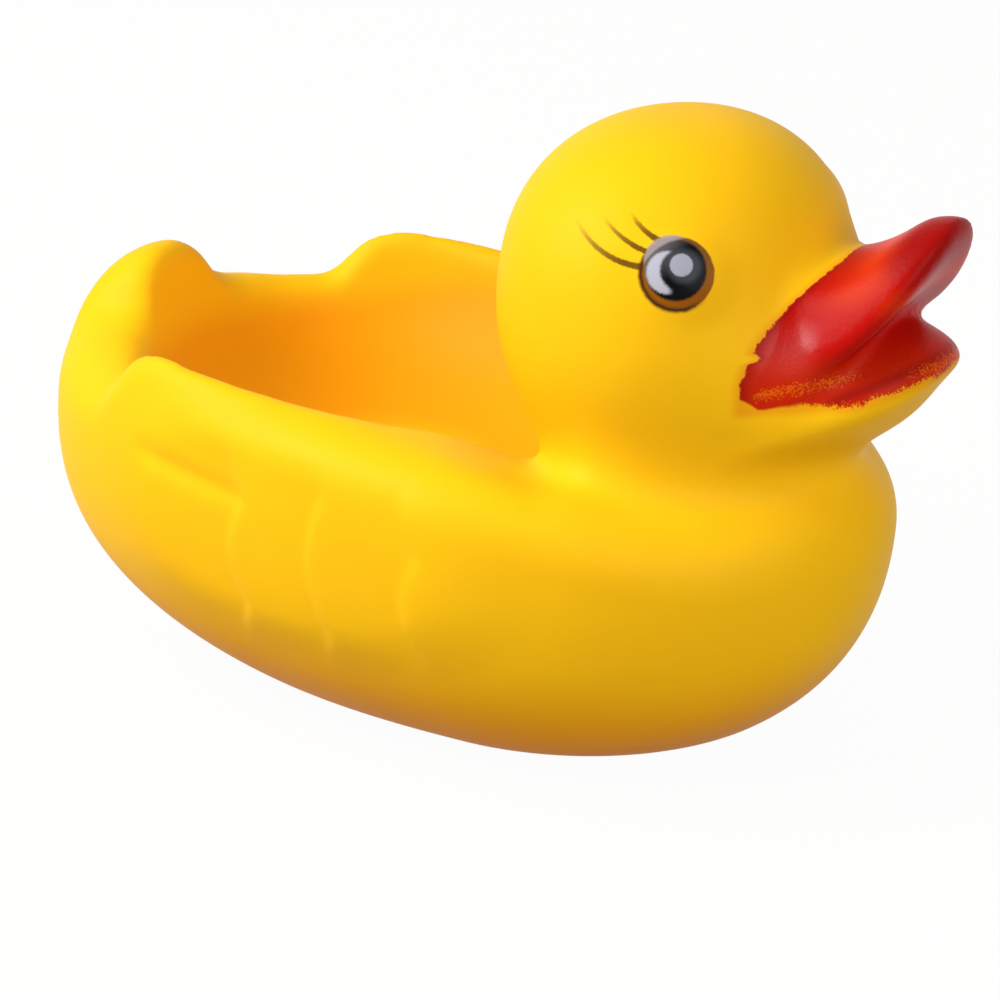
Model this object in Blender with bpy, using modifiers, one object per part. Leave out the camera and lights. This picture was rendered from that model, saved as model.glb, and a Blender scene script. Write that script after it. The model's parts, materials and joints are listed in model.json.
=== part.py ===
"""A bath duck with a nest in its back: one hollow vinyl skin, and a squeaker pressed into its base.

Lengths are metres and angles degrees. +X is ahead, towards the bill, +Y is the duck's left and +Z is up.
The skin is shaped like clay. Each lump starts as a sphere primitive, the lumps are joined by remeshing,
and every point is then settled onto one blended surface, where each joint has its own named radius.
"""

import math

import bmesh
import bpy
import numpy as np
from mathutils import Vector

# Skin
WALL = 0.002

# Hull: the boat-shaped body, measured from its widest station
HULL_STATION = 0.0006
HULL_AHEAD = 0.0516
HULL_BEHIND = 0.0846
HULL_HALF_WIDTH = 0.0442
HULL_BELLY_HEIGHT = 0.0358
HULL_CROWN = 0.0744
HULL_KEEL = 0.0409
HULL_BREAST_POWER = 1.94
HULL_STERN_POWER = 2.33
HULL_CROWN_POWER = 1.85
HULL_KEEL_POWER = 2.32
BASE_ROUNDING = 0.004

# Rim: the top edge of the hull, as heights at angles from the tail around the nest
RIM_CENTRE_X = -0.025
RIM_ANGLES = (
    0.0, 6.0, 10.0, 13.0, 17.0, 24.0, 33.0, 41.0, 49.0, 56.0,
    64.0, 76.0, 92.0, 112.0, 127.0, 140.0, 157.0, 180.0,
)
RIM_HEIGHTS = (
    0.0600, 0.0590, 0.0566, 0.0532, 0.0512, 0.0500, 0.0492, 0.0502, 0.0574, 0.0600,
    0.0592, 0.0568, 0.0542, 0.0520, 0.0502, 0.0467, 0.0412, 0.0409,
)
RIM_OUTER_ROUNDING = 0.009
RIM_INNER_ROUNDING = 0.004

# Nest: the dish in the back
NEST_CENTRE_X = -0.033
NEST_AHEAD = 0.042
NEST_BEHIND = 0.0358
NEST_HALF_WIDTH = 0.0352
NEST_DATUM_HEIGHT = 0.060
NEST_DEPTH = 0.030
NEST_POWER = 2.2

# Wings: pads on the sides of the hull, with scalloped feather edges stepping down towards the tail
WING_CENTRE_X = -0.022
WING_HALF_LENGTH = 0.0430
WING_CENTRE_HEIGHT = 0.036
WING_HALF_HEIGHT = 0.0220
WING_POWER = 2.4
WING_PROUD = 0.0013
WING_EDGE = 0.0095
WING_TOP = 0.0430
WING_TOP_FADE = 0.0070
FEATHER_EDGES = (0.003, -0.0130, -0.0275)
FEATHER_CUSP_HEIGHTS = (0.038, 0.0440, 0.0402)
FEATHER_LOBES = (0.0165, 0.0220, 0.0170)
FEATHER_SCALLOP = 0.0028
FEATHER_STEP = 0.0006
FEATHER_STEP_WIDTH = 0.0016
FEATHER_RUN_OUT = 0.0110
FEATHER_GROOVE_TAIL_X = -0.052
FEATHER_GROOVE_RISE = 0.0026
FEATHER_GROOVE_WIDTH = 0.0016

# Neck and head
NECK_X = 0.0217
NECK_HALF_LENGTH = 0.0161
NECK_HALF_WIDTH = 0.0215
NECK_FOOT_HEIGHT = 0.030
NECK_BACK_FILLET = 0.006
NECK_SHOULDER_FILLET = 0.014
HEAD_X = 0.0195
HEAD_HEIGHT = 0.0683
HEAD_HALF_LENGTH = 0.0251
HEAD_HALF_WIDTH = 0.0291
HEAD_HALF_HEIGHT = 0.0257
HEAD_CROWN_POWER = 2.27
HEAD_BLEND = 0.016

# Bill: two bent tongues, of which the upper is dished on top inside a lip, and the chin below them
UPPER_BILL_ROOT_X = 0.046
UPPER_BILL_HEIGHT = 0.0750
UPPER_BILL_AHEAD = 0.0175
UPPER_BILL_BEHIND = 0.0090
UPPER_BILL_HALF_WIDTH = 0.0165
UPPER_BILL_ABOVE = 0.0046
UPPER_BILL_BELOW = 0.0099
UPPER_BILL_LIFT = 0.0092
UPPER_BILL_DROOP = 0.0112
UPPER_BILL_BLEND = 0.0030
LOWER_BILL_ROOT_X = 0.045
LOWER_BILL_HEIGHT = 0.0594
LOWER_BILL_AHEAD = 0.0174
LOWER_BILL_BEHIND = 0.013
LOWER_BILL_HALF_WIDTH = 0.0158
LOWER_BILL_ABOVE = 0.0076
LOWER_BILL_BELOW = 0.0050
LOWER_BILL_LIFT = 0.0042
LOWER_BILL_DROOP = 0.0030
LOWER_BILL_BLEND = 0.006
BILL_BEND_BEHIND = 0.013
BILL_PLAN_POWER = 2.2
BILL_SECTION_POWER = 2.0
UPPER_BILL_UNDER_POWER = 1.9
LOWER_BILL_TOP_POWER = 1.9
LIP_WIDTH = 0.0032
DISH_DEPTH = 0.0033
DISH_HALF_HEIGHT = 0.012
DISH_ROUNDING = 0.0010
CHIN_X = 0.0373
CHIN_HEIGHT = 0.0590
CHIN_AHEAD = 0.0203
CHIN_BEHIND = 0.020
CHIN_HALF_WIDTH = 0.0165
CHIN_RISE = 0.010
CHIN_DROP = 0.0104
CHIN_BLEND = 0.012

# Eyes: shallow domes moulded in the skin
EYE_AZIMUTH = 63.2
EYE_ELEVATION = 21.2
EYE_RADIUS = 0.0056
EYE_PROUD = 0.0017
EYE_BLEND = 0.0012

# Squeaker, pressed into a boss in the middle of the base
SQUEAKER_CLEARANCE = 0.0003
FLANGE_RADIUS = 0.0075
FLANGE_THICKNESS = 0.0012
FLANGE_SETBACK = 0.0005
BARREL_RADIUS = 0.0055
BARREL_BARB = 0.0007
BARREL_BARB_LENGTH = 0.0022
AIR_HOLE_RADIUS = 0.00125
BOSS_WALL = 0.003
BOSS_HEIGHT = 0.0065

# Mesh fineness
ROUGH_VOXEL = 0.0024
SKIN_VOXEL = 0.0012
CAVITY_VOXEL = 0.0024
SKIN_TRIANGLES = 7600
CAVITY_TRIANGLES = 1700
SETTLE_ROUNDS = 5
SETTLE_STEP = 0.002
EASE_ROUNDS = 3
TURNED_STEPS = 40

VINYL_YELLOW = (0.95, 0.66, 0.02)
SQUEAKER_WHITE = (0.85, 0.85, 0.82)


def smooth_step(value):
    """0 below 0, 1 above 1, and an even S between."""
    t = np.clip(value, 0.0, 1.0)
    return t * t * (3.0 - 2.0 * t)


def blend_union(a, b, radius):
    """The nearer of two distances, with the crease between the two forms filled to about this radius."""
    h = np.maximum(radius - np.abs(a - b), 0.0) / radius
    return np.minimum(a, b) - h * h * radius * 0.25


def blend_common(a, b, radius):
    """The space inside both forms, with the edge between them rounded."""
    return -blend_union(-a, -b, radius)


def power_norm(a, b, power):
    """The superellipse norm of two coordinates, and its slopes along each."""
    norm = np.maximum((a**power + b**power) ** (1.0 / power), 1e-9)
    return norm, (a / norm) ** (power - 1.0), (b / norm) ** (power - 1.0)


class Lump:
    """A rounded lump with its own reach each way: a superellipse in plan, and another from side to top.

    The powers of the superellipses are given ahead and behind in plan, and above and below from the side.
    A lump off the middle plane stands for a pair, so points are measured on the left side.
    """

    def __init__(self, centre, ahead, behind, aside, above, below, plan=(2.0, 2.0), side=(2.0, 2.0)):
        self.centre = centre
        self.ahead, self.behind, self.aside = ahead, behind, aside
        self.above, self.below = above, below
        self.plan, self.side = plan, side

    def grown(self, by):
        """The same lump, larger all round."""
        reaches = (self.ahead, self.behind, self.aside, self.above, self.below)
        return Lump(self.centre, *(r + by for r in reaches), self.plan, self.side)

    def reaches(self, local):
        """The lump's reach along X and Z, and its two powers, on the side where each point lies."""
        ahead, up = local[:, 0] > 0.0, local[:, 2] > 0.0
        along = np.where(ahead, self.ahead, self.behind)
        high = np.where(up, self.above, self.below)
        return along, high, np.where(ahead, *self.plan), np.where(up, *self.side)

    def distance(self, points):
        """How far points are outside the lump, close to true near its surface."""
        local = points - np.array(self.centre)
        if self.centre[1]:
            local[:, 1] = np.abs(points[:, 1]) - self.centre[1]
        along, up, plan_power, side_power = self.reaches(local)
        u, v, w = np.abs(local[:, 0]) / along, np.abs(local[:, 1]) / self.aside, np.abs(local[:, 2]) / up
        plan, plan_u, plan_v = power_norm(u, v, plan_power)
        norm, norm_plan, norm_w = power_norm(plan, w, side_power)
        slopes = (norm_plan * plan_u / along, norm_plan * plan_v / self.aside, norm_w / up)
        steepness = np.sqrt(sum(s * s for s in slopes))
        return (norm - 1.0) / np.maximum(steepness, 1e-6)

    def add_to(self, mesh, side=1.0):
        """Adds the lump to a bmesh: a sphere primitive, each point moved out to the lump's surface."""
        made = bmesh.ops.create_uvsphere(mesh, u_segments=32, v_segments=20, radius=1.0)["verts"]
        directions = np.array([v.co[:] for v in made])
        along, up, plan_power, side_power = self.reaches(directions)
        u, v, w = (np.abs(directions) / np.stack([along, np.full_like(along, self.aside), up], 1)).T
        plan = power_norm(u, v, plan_power)[0]
        norm = power_norm(plan, w, side_power)[0]
        centre = Vector(self.centre)
        centre.y *= side
        for vert, direction, size in zip(made, directions, norm):
            vert.co = centre + Vector(direction / size)


class Tongue(Lump):
    """A lump bent like half of a bill: lifted more and more towards its tip, with drooping sides.

    The bend is given as where it starts, its length, its lift, and its droop at a distance aside.
    """

    def __init__(self, bend, *sizes, **powers):
        super().__init__(*sizes, **powers)
        self.bend = bend

    def raised(self, points):
        """How far each point is raised by the bend, with the slopes of the bend along X and Y."""
        start, length, lift, droop, half_width = self.bend
        along = np.clip((points[:, 0] - start) / length, 0.0, 1.2)
        aside = points[:, 1] / half_width
        up = lift * along**2 - droop * aside**2
        return up, 2.0 * lift * along / length, -2.0 * droop * aside / half_width

    def distance(self, points):
        up, slope_x, slope_y = self.raised(points)
        straight = points.copy()
        straight[:, 2] -= up
        return super().distance(straight) / np.sqrt(1.0 + 0.5 * (slope_x**2 + slope_y**2))

    def dish(self, lip, depth, half_height):
        """The same bend of a tall lump, whose underside dishes the tongue's top inside a lip."""
        x, y, z = self.centre
        power = self.side[0]
        spread = (1.0 - (1.0 - depth / half_height) ** power) ** (1.0 / power)
        ahead, aside = (self.ahead - lip) / spread, (self.aside - lip) / spread
        centre = (x, y, z + self.above - depth + half_height)
        sizes = (centre, ahead, ahead, aside, half_height, half_height)
        return Tongue(self.bend, *sizes, plan=self.plan, side=(power, power))

    def add_to(self, mesh):
        """Adds the lump to a bmesh, bent."""
        straight = set(mesh.verts)
        super().add_to(mesh)
        made = [v for v in mesh.verts if v not in straight]
        raised = self.raised(np.array([v.co[:] for v in made]))[0]
        for vert, up in zip(made, raised):
            vert.co.z += up


def rim_height(x, y):
    """Height of the hull's top edge, a smooth curve by the angle from the tail around the nest."""
    angle = np.degrees(np.arctan2(np.abs(y), RIM_CENTRE_X - x))
    knots, heights = np.array(RIM_ANGLES), np.array(RIM_HEIGHTS)
    slopes = np.gradient(heights, knots)
    slopes[0] = slopes[-1] = 0.0
    i = np.clip(np.searchsorted(knots, angle) - 1, 0, len(knots) - 2)
    gap = knots[i + 1] - knots[i]
    t = (angle - knots[i]) / gap
    rise = heights[i + 1] - heights[i]
    bend = slopes[i] * gap * t * (1.0 - t) ** 2 - slopes[i + 1] * gap * t**2 * (1.0 - t)
    return heights[i] + rise * smooth_step(t) + bend


def wing_relief(x, z):
    """How far the wings stand proud of the hull, by place along its side."""
    long_way = np.abs(x - WING_CENTRE_X) / WING_HALF_LENGTH
    high_way = np.abs(z - WING_CENTRE_HEIGHT) / WING_HALF_HEIGHT
    inside = (1.0 - power_norm(long_way, high_way, WING_POWER)[0]) * WING_HALF_HEIGHT
    proud = np.full_like(x, WING_PROUD)
    below_rim = smooth_step((WING_TOP + WING_TOP_FADE - z) / WING_TOP_FADE)
    for edge, cusp, lobe in zip(FEATHER_EDGES, FEATHER_CUSP_HEIGHTS, FEATHER_LOBES):
        behind = edge - FEATHER_SCALLOP * np.abs(np.sin(math.pi * (z - cusp) / lobe)) - x
        step = smooth_step(behind / FEATHER_STEP_WIDTH) * np.exp(-np.maximum(behind, 0.0) / FEATHER_RUN_OUT)
        proud -= FEATHER_STEP * step * below_rim
    run = (FEATHER_EDGES[-1] - x) / (FEATHER_EDGES[-1] - FEATHER_GROOVE_TAIL_X)
    off = z - FEATHER_CUSP_HEIGHTS[-1] - FEATHER_GROOVE_RISE * run
    ends = smooth_step(6.0 * run) * smooth_step(6.0 * (1.0 - run))
    proud -= FEATHER_STEP * ends * np.exp(-((off / FEATHER_GROOVE_WIDTH) ** 2))
    return proud * smooth_step(inside / WING_EDGE)


class Duck:
    """The lumps of the duck, and the distance to their blended surface. An inset duck is smaller."""

    def __init__(self, inset=0.0):
        self.inset = inset
        self.hull = Lump(
            (HULL_STATION, 0.0, HULL_BELLY_HEIGHT),
            HULL_AHEAD, HULL_BEHIND, HULL_HALF_WIDTH, HULL_CROWN, HULL_KEEL,
            (HULL_BREAST_POWER, HULL_STERN_POWER), (HULL_CROWN_POWER, HULL_KEEL_POWER),
        )
        self.nest = Lump(
            (NEST_CENTRE_X, 0.0, NEST_DATUM_HEIGHT),
            NEST_AHEAD, NEST_BEHIND, NEST_HALF_WIDTH, NEST_DEPTH, NEST_DEPTH,
            (NEST_POWER, NEST_POWER), (NEST_POWER, NEST_POWER),
        )
        neck_height = (HEAD_HEIGHT - NECK_FOOT_HEIGHT) / 2.0
        self.neck = Lump(
            (NECK_X, 0.0, NECK_FOOT_HEIGHT + neck_height),
            NECK_HALF_LENGTH, NECK_HALF_LENGTH, NECK_HALF_WIDTH, neck_height, neck_height,
            side=(4.0, 4.0),
        )
        self.head = Lump(
            (HEAD_X, 0.0, HEAD_HEIGHT),
            HEAD_HALF_LENGTH, HEAD_HALF_LENGTH, HEAD_HALF_WIDTH, HEAD_HALF_HEIGHT, HEAD_HALF_HEIGHT,
            side=(HEAD_CROWN_POWER, 2.0),
        )
        self.chin = Lump(
            (CHIN_X, 0.0, CHIN_HEIGHT), CHIN_AHEAD, CHIN_BEHIND, CHIN_HALF_WIDTH, CHIN_RISE, CHIN_DROP
        )
        plan = (BILL_PLAN_POWER, BILL_PLAN_POWER)
        self.upper_bill = Tongue(
            (
                UPPER_BILL_ROOT_X - BILL_BEND_BEHIND, UPPER_BILL_AHEAD + BILL_BEND_BEHIND,
                UPPER_BILL_LIFT, UPPER_BILL_DROOP, UPPER_BILL_HALF_WIDTH,
            ),
            (UPPER_BILL_ROOT_X, 0.0, UPPER_BILL_HEIGHT),
            UPPER_BILL_AHEAD, UPPER_BILL_BEHIND, UPPER_BILL_HALF_WIDTH,
            UPPER_BILL_ABOVE, UPPER_BILL_BELOW, plan=plan, side=(BILL_SECTION_POWER, UPPER_BILL_UNDER_POWER),
        )
        self.dish = self.upper_bill.dish(LIP_WIDTH, DISH_DEPTH, DISH_HALF_HEIGHT)
        self.lower_bill = Tongue(
            (
                LOWER_BILL_ROOT_X - BILL_BEND_BEHIND, LOWER_BILL_AHEAD + BILL_BEND_BEHIND,
                LOWER_BILL_LIFT, LOWER_BILL_DROOP, LOWER_BILL_HALF_WIDTH,
            ),
            (LOWER_BILL_ROOT_X, 0.0, LOWER_BILL_HEIGHT),
            LOWER_BILL_AHEAD, LOWER_BILL_BEHIND, LOWER_BILL_HALF_WIDTH,
            LOWER_BILL_ABOVE, LOWER_BILL_BELOW, plan=plan, side=(LOWER_BILL_TOP_POWER, BILL_SECTION_POWER),
        )
        azimuth, elevation = math.radians(EYE_AZIMUTH), math.radians(EYE_ELEVATION)
        out = Vector((
            math.cos(azimuth) * math.cos(elevation),
            math.sin(azimuth) * math.cos(elevation),
            math.sin(elevation),
        ))
        scaled = Vector((out.x / HEAD_HALF_LENGTH, out.y / HEAD_HALF_WIDTH, out.z / HEAD_HALF_HEIGHT))
        bulge = (EYE_RADIUS**2 + EYE_PROUD**2) / (2.0 * EYE_PROUD)
        seat = Vector(self.head.centre) + out * (1.0 / scaled.length + EYE_PROUD - bulge)
        self.eye = Lump(tuple(seat), *[bulge] * 5)

    def body(self, points):
        """The hull with its wings, cut at the rim and hollowed by the nest."""
        x, y, z = points.T
        hull = self.hull.distance(points)
        if not self.inset:
            hull = hull - wing_relief(x, z)
        topped = blend_common(hull, z - rim_height(x, y), RIM_OUTER_ROUNDING)
        return blend_common(topped + self.inset, -self.nest.distance(points) + self.inset, RIM_INNER_ROUNDING)

    def distance(self, points):
        """Distance to the duck's surface, less than 0 inside."""
        x, y, z = points.T
        made = self.body(points)
        head = blend_union(self.neck.distance(points), self.head.distance(points), HEAD_BLEND)
        head = blend_union(head, self.chin.distance(points), CHIN_BLEND) + self.inset
        ahead = smooth_step((x - (NECK_X - NECK_HALF_LENGTH)) / NECK_HALF_LENGTH)
        fillet = NECK_BACK_FILLET + (NECK_SHOULDER_FILLET - NECK_BACK_FILLET) * ahead
        made = blend_union(made, head, fillet)
        if not self.inset:
            upper = blend_common(self.upper_bill.distance(points), -self.dish.distance(points), DISH_ROUNDING)
            made = blend_union(made, self.lower_bill.distance(points), LOWER_BILL_BLEND)
            made = blend_union(made, upper, UPPER_BILL_BLEND)
            made = blend_union(made, self.eye.distance(points), EYE_BLEND)
        return blend_common(made, self.inset - z, BASE_ROUNDING)


def new_object(name, mesh_or_bmesh, collection):
    """An object in the collection, from a mesh or from a bmesh, which is freed."""
    mesh = mesh_or_bmesh
    if isinstance(mesh_or_bmesh, bmesh.types.BMesh):
        mesh = bpy.data.meshes.new(name)
        mesh_or_bmesh.to_mesh(mesh)
        mesh_or_bmesh.free()
    made = bpy.data.objects.new(name, mesh)
    collection.objects.link(made)
    return made


def new_collection(name, parent):
    made = bpy.data.collections.new(name)
    parent.children.link(made)
    return made


def baked(obj):
    """A mesh of the object with its modifiers applied. The object is removed."""
    bpy.context.view_layer.update()
    graph = bpy.context.evaluated_depsgraph_get()
    mesh = bpy.data.meshes.new_from_object(obj.evaluated_get(graph))
    bpy.data.objects.remove(obj)
    return mesh


def remeshed(name, bm_or_mesh, voxel, collection, cutter=None):
    """Overlapping closed lumps made one skin of even quads. A cutter is then taken out of it."""
    obj = new_object(name, bm_or_mesh, collection)
    remesh = obj.modifiers.new("one_skin", "REMESH")
    remesh.mode = "VOXEL"
    remesh.voxel_size = voxel
    if cutter:
        cut = obj.modifiers.new("cut", "BOOLEAN")
        cut.operation = "DIFFERENCE"
        cut.object = cutter
    return baked(obj)


def settled(mesh, duck):
    """Moves each point along the steepest way onto the duck's blended surface."""
    count = len(mesh.vertices)
    flat = np.empty(count * 3)
    mesh.vertices.foreach_get("co", flat)
    points = flat.reshape(-1, 3)
    step = 1e-5
    for _ in range(SETTLE_ROUNDS):
        away = duck.distance(points)
        slopes = np.empty_like(points)
        for axis in range(3):
            moved = points.copy()
            moved[:, axis] += step
            slopes[:, axis] = (duck.distance(moved) - away) / step
        steepness = np.maximum((slopes**2).sum(1), 0.05)
        share = np.clip(away / steepness, -SETTLE_STEP, SETTLE_STEP)
        points -= slopes * share[:, None]
    mesh.vertices.foreach_set("co", points.ravel())
    mesh.update()
    return mesh


def shaped(name, duck, voxel, triangles, collection):
    """A closed skin on the duck's surface, with about that many triangles."""
    inset = -duck.inset
    rough = max(ROUGH_VOXEL, voxel)
    nest = bmesh.new()
    duck.nest.grown(-inset).add_to(nest)
    nest = new_object(name + "_nest", nest, collection)
    body = bmesh.new()
    duck.hull.grown(inset).add_to(body)
    topped = remeshed(name, body, rough, collection)
    for vert in topped.vertices:
        top = float(rim_height(np.array([vert.co.x]), np.array([vert.co.y]))[0]) + inset
        vert.co.z = min(vert.co.z, top)
    topped = remeshed(name, topped, rough, collection, nest)
    whole = bmesh.new()
    whole.from_mesh(topped)
    for lump in (duck.neck, duck.head, duck.chin):
        lump.grown(inset).add_to(whole)
    if not inset:
        duck.upper_bill.add_to(whole)
        duck.lower_bill.add_to(whole)
        for side in (1.0, -1.0):
            duck.eye.add_to(whole, side)
    mesh = settled(remeshed(name, whole, rough, collection), duck)
    mesh = settled(remeshed(name, mesh, voxel, collection), duck)
    bpy.data.objects.remove(nest)
    obj = new_object(name, mesh, collection)
    if not inset:
        ease = obj.modifiers.new("ease_edges", "SMOOTH")
        ease.iterations = EASE_ROUNDS
    mesh.calc_loop_triangles()
    thin = obj.modifiers.new("fewer_faces", "DECIMATE")
    thin.ratio = min(1.0, triangles / len(mesh.loop_triangles))
    return new_object(name, baked(obj), collection)


def turned(name, profile, collection):
    """A ring turned about Z from points of radius and height, which run down its outer side first."""
    bm = bmesh.new()
    verts = [bm.verts.new((radius, 0.0, height)) for radius, height in profile]
    for first, second in zip(verts, verts[1:] + verts[:1]):
        bm.edges.new((first, second))
    obj = new_object(name, bm, collection)
    screw = obj.modifiers.new("turn", "SCREW")
    screw.steps = screw.render_steps = TURNED_STEPS
    screw.use_merge_vertices = True
    screw.merge_threshold = 0.00001
    return obj


def cylinder(name, radius, low, high, collection):
    """A closed cylinder about Z between two heights."""
    bm = bmesh.new()
    bmesh.ops.create_cone(
        bm, cap_ends=True, segments=TURNED_STEPS, radius1=radius, radius2=radius, depth=high - low
    )
    obj = new_object(name, bm, collection)
    obj.location = (0.0, 0.0, (low + high) / 2.0)
    return obj


def as_cutter(obj):
    obj.hide_render = True
    obj.display_type = "WIRE"
    return obj


def boolean(obj, operation, other, name):
    cut = obj.modifiers.new(name, "BOOLEAN")
    cut.operation = operation
    cut.object = other


def finish(obj, name, colour, roughness):
    """A material of its own, and smooth shading with true creases."""
    material = bpy.data.materials.new(name)
    material.use_nodes = True
    shader = material.node_tree.nodes["Principled BSDF"]
    shader.inputs["Base Color"].default_value = (*colour, 1.0)
    shader.inputs["Roughness"].default_value = roughness
    shader.inputs["Metallic"].default_value = 0.0
    obj.data.materials.clear()
    obj.data.materials.append(material)
    for polygon in obj.data.polygons:
        polygon.use_smooth = True


def make_duck_skin(parts, cutters):
    """The hollow skin, with the boss and stepped bore that hold the squeaker."""
    skin = shaped("duck_skin", Duck(), SKIN_VOXEL, SKIN_TRIANGLES, parts)
    low, high = (min(v.co.x for v in skin.data.vertices), max(v.co.x for v in skin.data.vertices))
    centre = (low + high) / 2.0
    cavity = shaped("cavity", Duck(WALL), CAVITY_VOXEL, CAVITY_TRIANGLES, cutters)
    for obj in (skin, cavity):
        for vert in obj.data.vertices:
            vert.co.x -= centre
    boss_radius = BARREL_RADIUS + SQUEAKER_CLEARANCE + BOSS_WALL
    boss = as_cutter(cylinder("boss", boss_radius, -WALL, BOSS_HEIGHT, cutters))
    boolean(cavity, "DIFFERENCE", boss, "leave_the_boss")
    as_cutter(cavity)
    boolean(skin, "DIFFERENCE", cavity, "hollow")
    below = -0.01
    pocket_depth = FLANGE_SETBACK + FLANGE_THICKNESS + SQUEAKER_CLEARANCE
    pocket = cylinder("flange_pocket", FLANGE_RADIUS + SQUEAKER_CLEARANCE, below, pocket_depth, cutters)
    boolean(skin, "DIFFERENCE", as_cutter(pocket), "flange_seat")
    bore = cylinder("barrel_bore", BARREL_RADIUS + SQUEAKER_CLEARANCE, below, BOSS_HEIGHT + WALL, cutters)
    boolean(skin, "DIFFERENCE", as_cutter(bore), "barrel_hole")
    finish(skin, "vinyl_yellow", VINYL_YELLOW, 0.42)
    return skin


def make_squeaker(parts):
    """A whistle: a flange that sits in the base, and a barbed barrel that passes through the boss."""
    foot = FLANGE_SETBACK
    shoulder = foot + FLANGE_THICKNESS
    barb_foot = BOSS_HEIGHT + SQUEAKER_CLEARANCE
    top = barb_foot + BARREL_BARB_LENGTH
    barb = BARREL_RADIUS + SQUEAKER_CLEARANCE + BARREL_BARB
    profile = (
        (BARREL_RADIUS, top),
        (barb, barb_foot),
        (BARREL_RADIUS, barb_foot),
        (BARREL_RADIUS, shoulder),
        (FLANGE_RADIUS, shoulder),
        (FLANGE_RADIUS, foot),
        (AIR_HOLE_RADIUS, foot),
        (AIR_HOLE_RADIUS, top),
    )
    squeaker = turned("squeaker", profile, parts)
    finish(squeaker, "squeaker_white", SQUEAKER_WHITE, 0.35)
    return squeaker


def main():
    for obj in list(bpy.data.objects):
        bpy.data.objects.remove(obj)
    root = bpy.context.scene.collection
    parts = new_collection("bath_duck", root)
    cutters = new_collection("cutters", root)
    make_duck_skin(parts, cutters)
    make_squeaker(parts)


main()
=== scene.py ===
"""The looks of a bath duck with a nest in its back: soft vinyl, a sprayed bill, printed eyes, a squeaker.

The file is laid out as an add-on and run as a script. Lengths are metres, but material patterns use
millimetres. +X is ahead, towards the bill, +Y is the duck's left and +Z is up.
"""

import json
import math

import bpy
import numpy as np
from bpy.props import FloatProperty, FloatVectorProperty, IntProperty, PointerProperty
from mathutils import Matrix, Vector

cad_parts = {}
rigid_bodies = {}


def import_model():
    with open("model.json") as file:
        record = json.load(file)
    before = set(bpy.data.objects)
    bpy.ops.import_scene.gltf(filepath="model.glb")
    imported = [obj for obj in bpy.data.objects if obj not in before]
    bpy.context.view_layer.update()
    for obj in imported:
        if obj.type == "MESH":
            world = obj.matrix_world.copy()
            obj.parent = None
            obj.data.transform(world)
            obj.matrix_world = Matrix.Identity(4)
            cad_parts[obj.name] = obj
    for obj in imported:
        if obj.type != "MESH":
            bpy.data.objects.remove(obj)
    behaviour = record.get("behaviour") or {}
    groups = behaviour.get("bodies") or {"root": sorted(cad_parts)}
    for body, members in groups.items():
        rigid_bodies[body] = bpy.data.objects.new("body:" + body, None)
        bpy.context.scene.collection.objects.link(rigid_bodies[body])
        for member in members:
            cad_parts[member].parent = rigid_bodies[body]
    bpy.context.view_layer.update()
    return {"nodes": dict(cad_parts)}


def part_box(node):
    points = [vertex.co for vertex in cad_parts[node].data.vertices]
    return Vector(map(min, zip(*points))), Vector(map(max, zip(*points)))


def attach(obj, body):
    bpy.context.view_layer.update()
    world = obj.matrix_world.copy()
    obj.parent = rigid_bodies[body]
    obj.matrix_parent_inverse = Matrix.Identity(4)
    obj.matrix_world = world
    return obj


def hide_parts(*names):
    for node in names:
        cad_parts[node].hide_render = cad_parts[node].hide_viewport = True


bl_info = {
    "name": "Bath duck looks",
    "version": (1, 0, 0),
    "blender": (4, 5, 0),
    "location": "3D View > Sidebar > Bath duck",
    "description": "Fine vinyl skin, paint, squeaker and white studio for the bath duck",
    "category": "Object",
}

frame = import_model()

# Fineness and fitting of the skin
ROW_SHIFT = 0.01032
POCKET_RADIUS = 0.0078
BORE_TOP = 0.0095
CUTTER_OVERRUN = 0.005
MERGE_DISTANCE = 0.000002
SETTLE_ROUNDS = 4
SETTLE_STEP = 0.002
SLOPE_STEP = 0.00001
VISUAL_EASE_ROUNDS = 3

# Squeaker
FLANGE_THICKNESS = 0.0012
BARREL_RADIUS = 0.0055
BARB_REACH = 0.001
BARB_LENGTH = 0.0022
AIR_HOLE_RADIUS = 0.00125

# Edges of the sprayed paint, in millimetres of the row frame
PAINT_CORNER_X = 50.4
PAINT_CORNER_HEIGHT = 62.0
PAINT_CORNER_CURVE = 0.029
PAINT_CLIMB = 16.0
PAINT_NOTCH_HEIGHT = 66.8
PAINT_NOTCH_DEPTH = 1.2
PAINT_LOW_HEIGHT = 59.4
PAINT_LOW_SLOPE = 0.12
PAINT_LOW_RUN = 11.0
PAINT_TIP_RISE = 2.6
PAINT_TIP_RUN = (63.5, 73.5)
BAND_X = 51.6
BAND_HEIGHT = 62.1
BAND_SLOPE = 0.23
# Painted shade: how high the deeper orange reaches up from the base, and the ellipse and top of the nest
# where it is painted too
LOW_SHADE_TOP = 24.0
NEST_SHADE_X = -20.0
NEST_SHADE_LENGTH = 38.0
NEST_SHADE_WIDTH = 36.5
SHINE_X = (56.0, 5.0)
SHINE_Z = (67.5, 5.0)
NEST_SHADE_TOP = 60.0

# Printed lashes: circle of each arc, its start and end, and half its width, from the eye's middle
LASHES = (
    ((-3.72, 12.60, 11.41), (-5.15, 1.32), (-14.18, 7.94), 0.47),
    ((0.33, 15.33, 12.81), (-4.37, 3.40), (-10.34, 8.27), 0.41),
    ((1.43, 13.06, 9.02), (-2.71, 5.05), (-6.57, 8.89), 0.45),
)
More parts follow.
